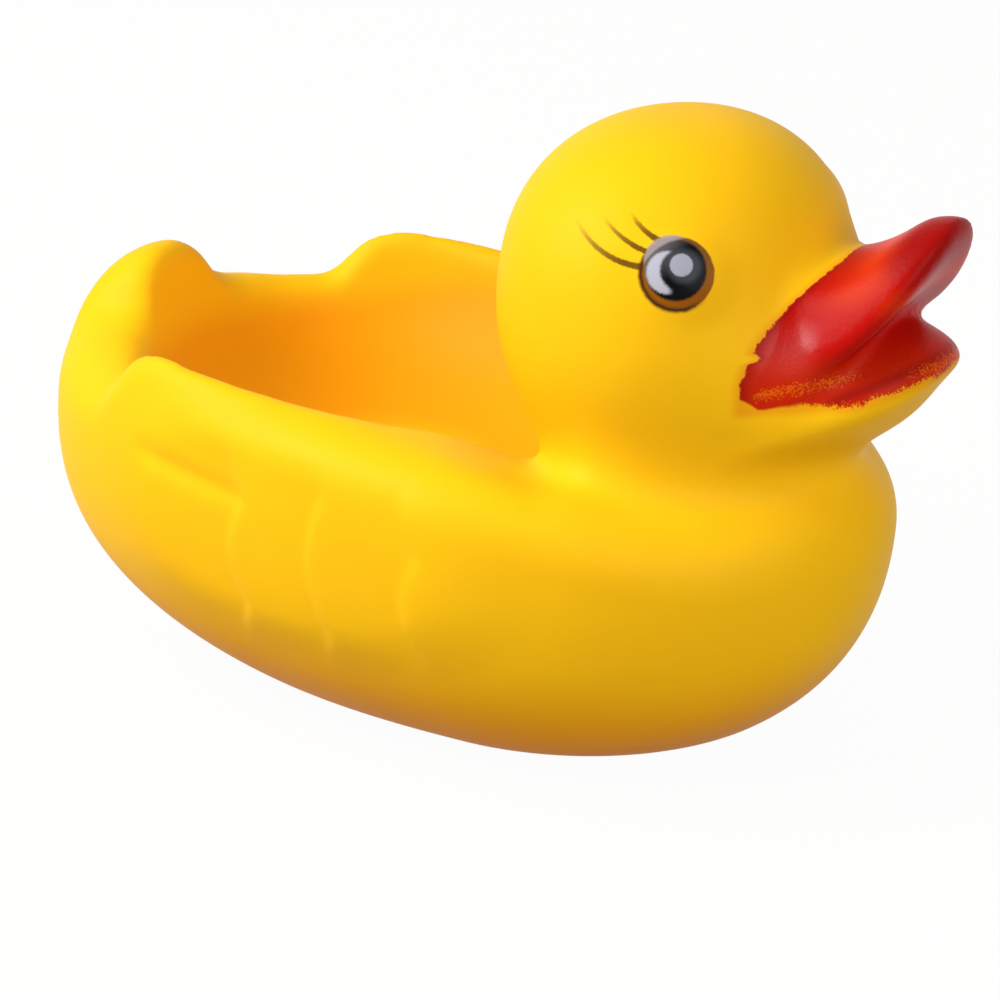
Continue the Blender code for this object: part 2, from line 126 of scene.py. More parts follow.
# Circles of the eye: how far ahead and up the centre is, and the radius. All bound printed marks, save the
# two that bound a painted highlight arc on the dome.
IRIS = (0.02, 0.36, 5.15)
HIGHLIGHT_INSIDE = (1.81, -2.08, 7.40)
HIGHLIGHT_EDGE = (-0.78, 1.89, 3.85)
PUPIL = (-0.17, 0.84, 4.25)
CRESCENT = (-1.25, 0.51, 3.01)
CRESCENT_INSIDE = (0.55, 0.84, 2.93)
HALO = (1.00, 1.40, 2.90)
DOT = (0.60, 1.55, 1.58)

# Studio
FLOOR_SIZE = 6.0
FLOOR_DROP = -0.0001
FLOOR_COLOUR = (0.30, 0.27, 0.22)
KEY_AZIMUTH = -48.0
KEY_ELEVATION = 40.0
FILL_AZIMUTH = 62.0
FILL_ELEVATION = 25.0

# Hull: the boat-shaped body, measured from its widest station
HULL_STATION = 0.0006
HULL_AHEAD = 0.0516
HULL_BEHIND = 0.0846
HULL_HALF_WIDTH = 0.0442
HULL_BELLY_HEIGHT = 0.0358
HULL_CROWN = 0.0744
HULL_KEEL = 0.0409
HULL_BREAST_POWER = 1.94
HULL_STERN_POWER = 2.33
HULL_CROWN_POWER = 1.85
HULL_KEEL_POWER = 2.32
BASE_ROUNDING = 0.004

# Rim: the top edge of the hull, as heights at angles from the tail around the nest
RIM_CENTRE_X = -0.025
RIM_ANGLES = (
    0.0, 6.0, 10.0, 13.0, 17.0, 24.0, 33.0, 41.0, 49.0, 56.0,
    64.0, 76.0, 92.0, 112.0, 127.0, 140.0, 157.0, 180.0,
)
RIM_HEIGHTS = (
    0.0600, 0.0590, 0.0566, 0.0532, 0.0512, 0.0500, 0.0492, 0.0502, 0.0574, 0.0600,
    0.0592, 0.0568, 0.0542, 0.0520, 0.0502, 0.0467, 0.0412, 0.0409,
)
RIM_OUTER_ROUNDING = 0.009
RIM_INNER_ROUNDING = 0.004

# Nest: the dish in the back
NEST_CENTRE_X = -0.033
NEST_AHEAD = 0.042
NEST_BEHIND = 0.0358
NEST_HALF_WIDTH = 0.0352
NEST_DATUM_HEIGHT = 0.060
NEST_DEPTH = 0.030
NEST_POWER = 2.2

# Wings: pads on the sides of the hull, with scalloped feather edges stepping down towards the tail
WING_CENTRE_X = -0.022
WING_HALF_LENGTH = 0.0430
WING_CENTRE_HEIGHT = 0.036
WING_HALF_HEIGHT = 0.0220
WING_POWER = 2.4
WING_PROUD = 0.0013
WING_EDGE = 0.0095
WING_TOP = 0.0430
WING_TOP_FADE = 0.0070
FEATHER_EDGES = (0.003, -0.0130, -0.0275)
FEATHER_CUSP_HEIGHTS = (0.038, 0.0440, 0.0402)
FEATHER_LOBES = (0.0165, 0.0220, 0.0170)
FEATHER_SCALLOP = 0.0028
FEATHER_STEP = 0.0006
FEATHER_STEP_WIDTH = 0.0016
FEATHER_RUN_OUT = 0.0110
FEATHER_GROOVE_TAIL_X = -0.052
FEATHER_GROOVE_RISE = 0.0026
FEATHER_GROOVE_WIDTH = 0.0016

# Neck and head
NECK_X = 0.0217
NECK_HALF_LENGTH = 0.0161
NECK_HALF_WIDTH = 0.0215
NECK_FOOT_HEIGHT = 0.030
NECK_BACK_FILLET = 0.006
NECK_SHOULDER_FILLET = 0.014
HEAD_X = 0.0195
HEAD_HEIGHT = 0.0683
HEAD_HALF_LENGTH = 0.0251
HEAD_HALF_WIDTH = 0.0291
HEAD_HALF_HEIGHT = 0.0257
HEAD_CROWN_POWER = 2.27
HEAD_BLEND = 0.016

# Bill: two bent tongues, of which the upper is dished on top inside a lip, and the chin below them
UPPER_BILL_ROOT_X = 0.046
UPPER_BILL_HEIGHT = 0.0750
UPPER_BILL_AHEAD = 0.0175
UPPER_BILL_BEHIND = 0.0090
UPPER_BILL_HALF_WIDTH = 0.0165
UPPER_BILL_ABOVE = 0.0046
UPPER_BILL_BELOW = 0.0099
UPPER_BILL_LIFT = 0.0092
UPPER_BILL_DROOP = 0.0112
UPPER_BILL_BLEND = 0.0030
LOWER_BILL_ROOT_X = 0.045
LOWER_BILL_HEIGHT = 0.0594
LOWER_BILL_AHEAD = 0.0174
LOWER_BILL_BEHIND = 0.013
LOWER_BILL_HALF_WIDTH = 0.0158
LOWER_BILL_ABOVE = 0.0076
LOWER_BILL_BELOW = 0.0050
LOWER_BILL_LIFT = 0.0042
LOWER_BILL_DROOP = 0.0030
LOWER_BILL_BLEND = 0.006
BILL_BEND_BEHIND = 0.013
BILL_PLAN_POWER = 2.2
BILL_SECTION_POWER = 2.0
UPPER_BILL_UNDER_POWER = 1.9
LOWER_BILL_TOP_POWER = 1.9
LIP_WIDTH = 0.0032
DISH_DEPTH = 0.0033
DISH_HALF_HEIGHT = 0.012
DISH_ROUNDING = 0.0010
CHIN_X = 0.0373
CHIN_HEIGHT = 0.0590
CHIN_AHEAD = 0.0203
CHIN_BEHIND = 0.020
CHIN_HALF_WIDTH = 0.0165
CHIN_RISE = 0.010
CHIN_DROP = 0.0104
CHIN_BLEND = 0.012

# Eyes: shallow domes moulded in the skin
EYE_AZIMUTH = 63.2
EYE_ELEVATION = 21.2
EYE_RADIUS = 0.0056
EYE_PROUD = 0.0017
EYE_BLEND = 0.0012



def smooth_step(value):
    """0 below 0, 1 above 1, and an even S between."""
    t = np.clip(value, 0.0, 1.0)
    return t * t * (3.0 - 2.0 * t)


def blend_union(a, b, radius):
    """The nearer of two distances, with the crease between the two forms filled to about this radius."""
    h = np.maximum(radius - np.abs(a - b), 0.0) / radius
    return np.minimum(a, b) - h * h * radius * 0.25


def blend_common(a, b, radius):
    """The space inside both forms, with the edge between them rounded."""
    return -blend_union(-a, -b, radius)


def power_norm(a, b, power):
    """The superellipse norm of two coordinates, and its slopes along each."""
    norm = np.maximum((a**power + b**power) ** (1.0 / power), 1e-9)
    return norm, (a / norm) ** (power - 1.0), (b / norm) ** (power - 1.0)


class Lump:
    """A rounded lump with its own reach each way: a superellipse in plan, and another from side to top.

    The powers of the superellipses are given ahead and behind in plan, and above and below from the side.
    A lump off the middle plane stands for a pair, so points are measured on the left side.
    """

    def __init__(self, centre, ahead, behind, aside, above, below, plan=(2.0, 2.0), side=(2.0, 2.0)):
        self.centre = centre
        self.ahead, self.behind, self.aside = ahead, behind, aside
        self.above, self.below = above, below
        self.plan, self.side = plan, side

    def reaches(self, local):
        """The lump's reach along X and Z, and its two powers, on the side where each point lies."""
        ahead, up = local[:, 0] > 0.0, local[:, 2] > 0.0
        along = np.where(ahead, self.ahead, self.behind)
        high = np.where(up, self.above, self.below)
        return along, high, np.where(ahead, *self.plan), np.where(up, *self.side)

    def distance(self, points):
        """How far points are outside the lump, close to true near its surface."""
        local = points - np.array(self.centre)
        if self.centre[1]:
            local[:, 1] = np.abs(points[:, 1]) - self.centre[1]
        along, up, plan_power, side_power = self.reaches(local)
        u, v, w = np.abs(local[:, 0]) / along, np.abs(local[:, 1]) / self.aside, np.abs(local[:, 2]) / up
        plan, plan_u, plan_v = power_norm(u, v, plan_power)
        norm, norm_plan, norm_w = power_norm(plan, w, side_power)
        slopes = (norm_plan * plan_u / along, norm_plan * plan_v / self.aside, norm_w / up)
        steepness = np.sqrt(sum(s * s for s in slopes))
        return (norm - 1.0) / np.maximum(steepness, 1e-6)


class Tongue(Lump):
    """A lump bent like half of a bill: lifted more and more towards its tip, with drooping sides.

    The bend is given as where it starts, its length, its lift, and its droop at a distance aside.
    """

    def __init__(self, bend, *sizes, **powers):
        super().__init__(*sizes, **powers)
        self.bend = bend

    def raised(self, points):
        """How far each point is raised by the bend, with the slopes of the bend along X and Y."""
        start, length, lift, droop, half_width = self.bend
        along = np.clip((points[:, 0] - start) / length, 0.0, 1.2)
        aside = points[:, 1] / half_width
        up = lift * along**2 - droop * aside**2
        return up, 2.0 * lift * along / length, -2.0 * droop * aside / half_width

    def distance(self, points):
        up, slope_x, slope_y = self.raised(points)
        straight = points.copy()
        straight[:, 2] -= up
        return super().distance(straight) / np.sqrt(1.0 + 0.5 * (slope_x**2 + slope_y**2))

    def dish(self, lip, depth, half_height):
        """The same bend of a tall lump, whose underside dishes the tongue's top inside a lip."""
        x, y, z = self.centre
        power = self.side[0]
        spread = (1.0 - (1.0 - depth / half_height) ** power) ** (1.0 / power)
        ahead, aside = (self.ahead - lip) / spread, (self.aside - lip) / spread
        centre = (x, y, z + self.above - depth + half_height)
        sizes = (centre, ahead, ahead, aside, half_height, half_height)
        return Tongue(self.bend, *sizes, plan=self.plan, side=(power, power))


def rim_height(x, y):
    """Height of the hull's top edge, a smooth curve by the angle from the tail around the nest."""
    angle = np.degrees(np.arctan2(np.abs(y), RIM_CENTRE_X - x))
    knots, heights = np.array(RIM_ANGLES), np.array(RIM_HEIGHTS)
    slopes = np.gradient(heights, knots)
    slopes[0] = slopes[-1] = 0.0
    i = np.clip(np.searchsorted(knots, angle) - 1, 0, len(knots) - 2)
    gap = knots[i + 1] - knots[i]
    t = (angle - knots[i]) / gap
    rise = heights[i + 1] - heights[i]
    bend = slopes[i] * gap * t * (1.0 - t) ** 2 - slopes[i + 1] * gap * t**2 * (1.0 - t)
    return heights[i] + rise * smooth_step(t) + bend


def wing_relief(x, z):
    """How far the wings stand proud of the hull, by place along its side."""
    long_way = np.abs(x - WING_CENTRE_X) / WING_HALF_LENGTH
    high_way = np.abs(z - WING_CENTRE_HEIGHT) / WING_HALF_HEIGHT
    inside = (1.0 - power_norm(long_way, high_way, WING_POWER)[0]) * WING_HALF_HEIGHT
    proud = np.full_like(x, WING_PROUD)
    below_rim = smooth_step((WING_TOP + WING_TOP_FADE - z) / WING_TOP_FADE)
    for edge, cusp, lobe in zip(FEATHER_EDGES, FEATHER_CUSP_HEIGHTS, FEATHER_LOBES):
        behind = edge - FEATHER_SCALLOP * np.abs(np.sin(math.pi * (z - cusp) / lobe)) - x
        step = smooth_step(behind / FEATHER_STEP_WIDTH) * np.exp(-np.maximum(behind, 0.0) / FEATHER_RUN_OUT)
        proud -= FEATHER_STEP * step * below_rim
    run = (FEATHER_EDGES[-1] - x) / (FEATHER_EDGES[-1] - FEATHER_GROOVE_TAIL_X)
    off = z - FEATHER_CUSP_HEIGHTS[-1] - FEATHER_GROOVE_RISE * run
    ends = smooth_step(6.0 * run) * smooth_step(6.0 * (1.0 - run))
    proud -= FEATHER_STEP * ends * np.exp(-((off / FEATHER_GROOVE_WIDTH) ** 2))
    return proud * smooth_step(inside / WING_EDGE)


class Duck:
    """The lumps of the duck, and the distance to their blended surface. An inset duck is smaller."""

    def __init__(self, inset=0.0):
        self.inset = inset
        self.hull = Lump(
            (HULL_STATION, 0.0, HULL_BELLY_HEIGHT),
            HULL_AHEAD, HULL_BEHIND, HULL_HALF_WIDTH, HULL_CROWN, HULL_KEEL,
            (HULL_BREAST_POWER, HULL_STERN_POWER), (HULL_CROWN_POWER, HULL_KEEL_POWER),
        )
        self.nest = Lump(
            (NEST_CENTRE_X, 0.0, NEST_DATUM_HEIGHT),
            NEST_AHEAD, NEST_BEHIND, NEST_HALF_WIDTH, NEST_DEPTH, NEST_DEPTH,
            (NEST_POWER, NEST_POWER), (NEST_POWER, NEST_POWER),
        )
        neck_height = (HEAD_HEIGHT - NECK_FOOT_HEIGHT) / 2.0
        self.neck = Lump(
            (NECK_X, 0.0, NECK_FOOT_HEIGHT + neck_height),
            NECK_HALF_LENGTH, NECK_HALF_LENGTH, NECK_HALF_WIDTH, neck_height, neck_height,
            side=(4.0, 4.0),
        )
        self.head = Lump(
            (HEAD_X, 0.0, HEAD_HEIGHT),
            HEAD_HALF_LENGTH, HEAD_HALF_LENGTH, HEAD_HALF_WIDTH, HEAD_HALF_HEIGHT, HEAD_HALF_HEIGHT,
            side=(HEAD_CROWN_POWER, 2.0),
        )
        self.chin = Lump(
            (CHIN_X, 0.0, CHIN_HEIGHT), CHIN_AHEAD, CHIN_BEHIND, CHIN_HALF_WIDTH, CHIN_RISE, CHIN_DROP
        )
        plan = (BILL_PLAN_POWER, BILL_PLAN_POWER)
        self.upper_bill = Tongue(
            (
                UPPER_BILL_ROOT_X - BILL_BEND_BEHIND, UPPER_BILL_AHEAD + BILL_BEND_BEHIND,
                UPPER_BILL_LIFT, UPPER_BILL_DROOP, UPPER_BILL_HALF_WIDTH,
            ),
            (UPPER_BILL_ROOT_X, 0.0, UPPER_BILL_HEIGHT),
            UPPER_BILL_AHEAD, UPPER_BILL_BEHIND, UPPER_BILL_HALF_WIDTH,
            UPPER_BILL_ABOVE, UPPER_BILL_BELOW, plan=plan, side=(BILL_SECTION_POWER, UPPER_BILL_UNDER_POWER),
        )
        self.dish = self.upper_bill.dish(LIP_WIDTH, DISH_DEPTH, DISH_HALF_HEIGHT)
        self.lower_bill = Tongue(
            (
                LOWER_BILL_ROOT_X - BILL_BEND_BEHIND, LOWER_BILL_AHEAD + BILL_BEND_BEHIND,
                LOWER_BILL_LIFT, LOWER_BILL_DROOP, LOWER_BILL_HALF_WIDTH,
            ),
            (LOWER_BILL_ROOT_X, 0.0, LOWER_BILL_HEIGHT),
            LOWER_BILL_AHEAD, LOWER_BILL_BEHIND, LOWER_BILL_HALF_WIDTH,
            LOWER_BILL_ABOVE, LOWER_BILL_BELOW, plan=plan, side=(LOWER_BILL_TOP_POWER, BILL_SECTION_POWER),
        )
        azimuth, elevation = math.radians(EYE_AZIMUTH), math.radians(EYE_ELEVATION)
        out = Vector((
            math.cos(azimuth) * math.cos(elevation),
            math.sin(azimuth) * math.cos(elevation),
            math.sin(elevation),
        ))
        scaled = Vector((out.x / HEAD_HALF_LENGTH, out.y / HEAD_HALF_WIDTH, out.z / HEAD_HALF_HEIGHT))
        bulge = (EYE_RADIUS**2 + EYE_PROUD**2) / (2.0 * EYE_PROUD)
        seat = Vector(self.head.centre) + out * (1.0 / scaled.length + EYE_PROUD - bulge)
        self.eye = Lump(tuple(seat), *[bulge] * 5)

    def body(self, points):
        """The hull with its wings, cut at the rim and hollowed by the nest."""
        x, y, z = points.T
        hull = self.hull.distance(points)
        if not self.inset:
            hull = hull - wing_relief(x, z)
        topped = blend_common(hull, z - rim_height(x, y), RIM_OUTER_ROUNDING)
        return blend_common(topped + self.inset, -self.nest.distance(points) + self.inset, RIM_INNER_ROUNDING)

    def distance(self, points):
        """Distance to the duck's surface, less than 0 inside."""
        x, y, z = points.T
        made = self.body(points)
        head = blend_union(self.neck.distance(points), self.head.distance(points), HEAD_BLEND)
        head = blend_union(head, self.chin.distance(points), CHIN_BLEND) + self.inset
        ahead = smooth_step((x - (NECK_X - NECK_HALF_LENGTH)) / NECK_HALF_LENGTH)
        fillet = NECK_BACK_FILLET + (NECK_SHOULDER_FILLET - NECK_BACK_FILLET) * ahead
        made = blend_union(made, head, fillet)
        if not self.inset:
            upper = blend_common(self.upper_bill.distance(points), -self.dish.distance(points), DISH_ROUNDING)
            made = blend_union(made, self.lower_bill.distance(points), LOWER_BILL_BLEND)
            made = blend_union(made, upper, UPPER_BILL_BLEND)
            made = blend_union(made, self.eye.distance(points), EYE_BLEND)
        return blend_common(made, self.inset - z, BASE_ROUNDING)




def eye_axes():
    """The eye's middle in millimetres of the row frame, and directions ahead, up and out on its plane."""
    azimuth, elevation = math.radians(EYE_AZIMUTH), math.radians(EYE_ELEVATION)
    out = Vector((
        math.cos(azimuth) * math.cos(elevation),
        math.sin(azimuth) * math.cos(elevation),
        math.sin(elevation),
    ))
    ahead = Vector((math.sin(azimuth), -math.cos(azimuth), 0.0))
    scaled = Vector((out.x / HEAD_HALF_LENGTH, out.y / HEAD_HALF_WIDTH, out.z / HEAD_HALF_HEIGHT))
    centre = Vector((HEAD_X + ROW_SHIFT, 0.0, HEAD_HEIGHT)) + out * (1.0 / scaled.length + EYE_PROUD)
    return centre * 1000.0, ahead, out.cross(ahead) * -1.0, out


EYE_CENTRE, EYE_AHEAD, EYE_UP, EYE_OUT = eye_axes()


def deselect():
    """Nothing is selected afterwards, so the next tool acts on its own piece only."""
    if bpy.context.object and bpy.context.object.mode != "OBJECT":
        bpy.ops.object.mode_set(mode="OBJECT")
    bpy.ops.object.select_all(action="DESELECT")


def take_up(obj):
    """Makes the object the only selected one, and the active one."""
    deselect()
    obj.select_set(True)
    bpy.context.view_layer.objects.active = obj
    return obj


def node_copy(node, name):
    """A copy of a CAD node with its loose triangles merged into one surface."""
    made = bpy.data.objects.new(name, frame["nodes"][node].data.copy())
    bpy.context.scene.collection.objects.link(made)
    made.data.materials.clear()
    take_up(made)
    bpy.ops.object.mode_set(mode="EDIT")
    bpy.ops.mesh.select_all(action="SELECT")
    bpy.ops.mesh.remove_doubles(threshold=MERGE_DISTANCE)
    bpy.ops.object.mode_set(mode="OBJECT")
    return made


def select_faces(obj, chosen):
    """Selects faces of the object by a test of each face, and goes into edit mode on it."""
    take_up(obj)
    bpy.ops.object.mode_set(mode="EDIT")
    bpy.ops.mesh.select_mode(type="FACE")
    bpy.ops.mesh.select_all(action="DESELECT")
    bpy.ops.object.mode_set(mode="OBJECT")
    for polygon, wanted in zip(obj.data.polygons, chosen):
        polygon.select = bool(wanted)
    bpy.ops.object.mode_set(mode="EDIT")


def outer_faces(obj):
    """Tells for each face of the hollow skin whether it is on the outside, up to the squeaker's pocket."""
    centres = np.array([polygon.center[:] for polygon in obj.data.polygons])
    pocket = (np.hypot(centres[:, 0], centres[:, 1]) < POCKET_RADIUS) & (centres[:, 2] < BORE_TOP)
    select_faces(obj, pocket)
    bpy.ops.mesh.region_to_loop()
    bpy.ops.mesh.mark_seam(clear=False)
    foremost = centres[:, 0].argmax()
    select_faces(obj, [i == foremost for i in range(len(centres))])
    bpy.ops.mesh.select_linked(delimit={"SEAM"})
    bpy.ops.object.mode_set(mode="OBJECT")
    return np.array([polygon.select for polygon in obj.data.polygons])


def keep_faces(obj, kept):
    """Deletes the other faces, and selects the open edge that this leaves."""
    select_faces(obj, ~kept)
    bpy.ops.mesh.delete(type="FACE")
    bpy.ops.mesh.select_mode(type="EDGE")
    bpy.ops.mesh.select_non_manifold(extend=False)


def face_out(obj):
    """Turns the faces of a closed mesh outwards, from edit mode."""
    bpy.ops.mesh.select_all(action="SELECT")
    bpy.ops.mesh.normals_make_consistent(inside=False)
    bpy.ops.object.mode_set(mode="OBJECT")
    return obj


def cavity_cutter():
    """The CAD skin's cavity, boss and bore as a solid that reaches out through the base."""
    cutter = node_copy("duck_skin", "cavity")
    keep_faces(cutter, ~outer_faces(cutter))
    bpy.ops.mesh.extrude_region_move(TRANSFORM_OT_translate={"value": (0.0, 0.0, -CUTTER_OVERRUN)})
    bpy.ops.mesh.edge_face_add()
    return face_out(cutter)


def outer_form(name):
    """The CAD skin's outside as a solid, with its base closed."""
    form = node_copy("duck_skin", name)
    keep_faces(form, outer_faces(form))
    bpy.ops.mesh.edge_face_add()
    return face_out(form)


def add_modifier(obj, name, kind, **settings):
    """Adds a modifier with its settings, and applies it."""
    take_up(obj)
    made = obj.modifiers.new(name, kind)
    for setting, value in settings.items():
        setattr(made, setting, value)
    bpy.ops.object.modifier_apply(modifier=made.name)


def points_of(mesh):
    flat = np.empty(len(mesh.vertices) * 3)
    mesh.vertices.foreach_get("co", flat)
    return flat.reshape(-1, 3)


def settle(mesh, duck, shift):
    """Moves each point along the steepest way onto the duck's surface, and keeps it in the CAD's box."""
    points = points_of(mesh) - (shift, 0.0, 0.0)
    for _ in range(SETTLE_ROUNDS):
        away = duck.distance(points)
        slopes = np.empty_like(points)
        for axis in range(3):
            moved = points.copy()
            moved[:, axis] += SLOPE_STEP
            slopes[:, axis] = (duck.distance(moved) - away) / SLOPE_STEP
        steepness = np.maximum((slopes**2).sum(1), 0.05)
        points -= slopes * np.clip(away / steepness, -SETTLE_STEP, SETTLE_STEP)[:, None]
    points += (shift, 0.0, 0.0)
    low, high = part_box("duck_skin")
    points = np.clip(points, low, high)
    mesh.vertices.foreach_set("co", points.ravel())
    mesh.update()


def finish(piece, node, material):
    """The piece gets its material and rides on the body, and the CAD node it stands in for is hidden."""
    piece.data.materials.clear()
    piece.data.materials.append(material)
    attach(piece, "root")
    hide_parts(node)


class Value:
    """A number that varies over the surface. Arithmetic on it adds Math nodes."""

    def __init__(self, nodes, socket):
        self.nodes, self.socket = nodes, socket

    def math(self, operation, *others, **settings):
        values = dict(enumerate((self, *others)))
        return self.nodes.add("ShaderNodeMath", {"operation": operation, **settings}, values)

    def __add__(self, other):
        return self.math("ADD", other)

    def __sub__(self, other):
        return self.math("SUBTRACT", other)

    def __rsub__(self, other):
        return self.math("MULTIPLY_ADD", -1.0, other)

    def __mul__(self, other):
        return self.math("MULTIPLY", other)

    def __truediv__(self, other):
        return self.math("DIVIDE", other)

    def __pow__(self, other):
        return self.math("POWER", other)

    def __abs__(self):
        return self.math("ABSOLUTE")

    __radd__ = __add__
    __rmul__ = __mul__

    def least(self, other):
        return self.math("MINIMUM", other)

    def most(self, other):
        return self.math("MAXIMUM", other)

    def step(self, low, high):
        """0 below low, 1 above high, and an even S between. High may be the smaller."""
        settings = {"interpolation_type": "SMOOTHSTEP"}
        if low < high:
            values = {"Value": self, "From Min": low, "From Max": high}
            return self.nodes.add("ShaderNodeMapRange", settings, values)
        return 1.0 - self.step(high, low)

    def hump(self, middle, reach):
        """1 at the middle, falling to 0 at this reach to either side."""
        return abs(self - middle).step(reach, 0.0)


class Nodes:
    """The nodes of one material around its Principled BSDF, or of one world."""

    def __init__(self, owner):
        owner.use_nodes = True
        self.owner = owner
        self.tree = owner.node_tree
        self.shader = self.tree.nodes.get("Principled BSDF")

    def feed(self, socket, value):
        """Links a value or socket into a socket, or sets a plain number, colour or vector on it."""
        value = getattr(value, "socket", value)
        if isinstance(value, bpy.types.NodeSocket):
            self.tree.links.new(value, socket)
        elif socket.type == "RGBA":
            socket.default_value = (*value, 1.0)
        else:
            socket.default_value = value

    def add(self, kind, settings=None, values=None, output=0):
        """A node of this kind with its settings and the values of its sockets. Gives one output."""
        node = self.tree.nodes.new(kind)
        for setting, value in (settings or {}).items():
            setattr(node, setting, value)
        for socket, value in (values or {}).items():
            self.feed(node.inputs[socket], value)
        return Value(self, node.outputs[output])

    def surface(self, **values):
        """Sets the shader's sockets. Underscores in the names stand for spaces."""
        for socket, value in values.items():
            self.feed(self.shader.inputs[socket.replace("_", " ")], value)

    def place(self):
        """Place on the object, in millimetres."""
        metres = self.add("ShaderNodeTexCoord", output="Object")
        return self.add("ShaderNodeVectorMath", {"operation": "SCALE"}, {0: metres, "Scale": 1000.0})

    def split(self, vector):
        parts = self.add("ShaderNodeSeparateXYZ", values={0: vector}).socket.node.outputs
        return tuple(Value(self, part) for part in parts)

    def joined(self, x, y, z):
        return self.add("ShaderNodeCombineXYZ", values={0: x, 1: y, 2: z})

    def along(self, place, direction, origin):
        """How far a place lies from the origin along a direction."""
        values = {0: place, 1: direction}
        dot = self.add("ShaderNodeVectorMath", {"operation": "DOT_PRODUCT"}, values, "Value")
        return dot - sum(d * o for d, o in zip(direction, origin))

    def noise(self, place, size, detail=2.0, roughness=0.5):
        """Cloudy values about 0.5, with forms of about this size in millimetres."""
        values = {"Vector": place, "Scale": 1.0 / size, "Detail": detail, "Roughness": roughness}
        return self.add("ShaderNodeTexNoise", None, values)

    def mixed(self, first, second, share):
        """A colour between two."""
        settings = {"data_type": "RGBA", "clamp_factor": True}
        return self.add("ShaderNodeMix", settings, {0: share, 6: first, 7: second}, 2)

    def bump(self, height, strength=1.0, normal=None):
        """A normal from a height in millimetres."""
        values = {"Height": height, "Distance": 0.001, "Strength": strength}
        if normal:
            values["Normal"] = normal
        return self.add("ShaderNodeBump", None, values, "Normal")


def outside(u, v, circle):
    """How far outside a printed circle a place in the eye's plane is."""
    across, up = u - circle[0], v - circle[1]
    return (across * across + up * up).math("SQRT") - circle[2]


def bill_paint(nodes, looks, place, x, side, z, base):
    """The sprayed bill: the colour over the base, and how much of the surface is painted. Its red carries a
    painted glow and painted shade.
    """
    ragged = (nodes.noise(place, 0.9, 3.0, 0.6) - 0.5) * 1.3
    waves = (nodes.noise(place, 4.0, 1.0) - 0.5) * 1.7
    grain = nodes.noise(place, 0.33, 2.0, 0.7)
    climb = (z - PAINT_CORNER_HEIGHT).most(0.0).least(PAINT_CLIMB)
    notch = z.hump(PAINT_NOTCH_HEIGHT, 0.9) * PAINT_NOTCH_DEPTH
    ahead = x - (PAINT_CORNER_X + climb * climb * PAINT_CORNER_CURVE + notch)
    lower = (x - PAINT_CORNER_X).most(0.0).least(PAINT_LOW_RUN) * PAINT_LOW_SLOPE
    above = z - (PAINT_LOW_HEIGHT + lower + PAINT_TIP_RISE * x.step(*PAINT_TIP_RUN))
    top_edge = (ahead + ragged).step(-0.14, 0.14)
    spray = (grain - 0.5) * 3.0 * x.step(54.0, 66.0) + waves
    corner = (PAINT_CORNER_X + 2.2 - x).most(0.0) * 0.8
    low_edge = (above + spray - corner).step(-0.25, 0.3)
    painted = top_edge.least(low_edge)

    band = (z - (BAND_HEIGHT + (x - BAND_X) * BAND_SLOPE)).hump(-0.6, 2.3)
    band = band * x.step(67.0, 62.0) * x.step(51.0, 52.5)
    tip = x.step(68.0, 72.0) * (z - 64.4).hump(0.0, 2.4)
    under = above.step(1.5, 0.1) * x.step(56.0, 62.0) * 0.6
    misted = band.most(tip).most(under)
    thin = (misted - grain * 3.2 + 0.95).step(0.0, 0.7) * misted.step(0.0, 0.5)
    dish = ahead.hump(6.6, 5.2) * z.step(72.0, 77.0) * side.step(17.0, 12.0)
    mouth = x.step(65.5, 70.5) * z.hump(75.2, 3.2)
    # Painted glow: a lighter red in the dish, on the front of the tip and on the lower bill, standing in for
    # light in the red
    glow = dish.most(mouth * 0.9).most(z.step(69.0, 65.0) * 0.5) * (1.05 - grain * 0.35)
    # Painted shade: the darkest red lies in the crease under the lower lip; it also marks a double coat along
    # the paint's top edge and darkens the raised tip
    crease = (z - (61.2 + (x - 62.0) * 0.42)).hump(0.0, 1.5) * x.step(60.0, 63.0) * 0.6
    deep = (ahead.step(1.6, 0.0) * 0.5).most(crease).most(x.step(64.0, 69.0) * z.step(77.0, 81.0) * 0.6)
    colour = nodes.mixed(looks.red, looks.painted_glow_red, glow)
    colour = nodes.mixed(colour, looks.deep_red, deep)
    colour = nodes.mixed(colour, looks.thinnest, thin * 0.9)
    halo = (ahead + 0.9).step(-0.5, 1.0) * (above + 1.4).step(-0.4, 1.2) * 0.4
    base = nodes.mixed(base, looks.thinnest, halo)
    return nodes.mixed(base, colour, painted), painted


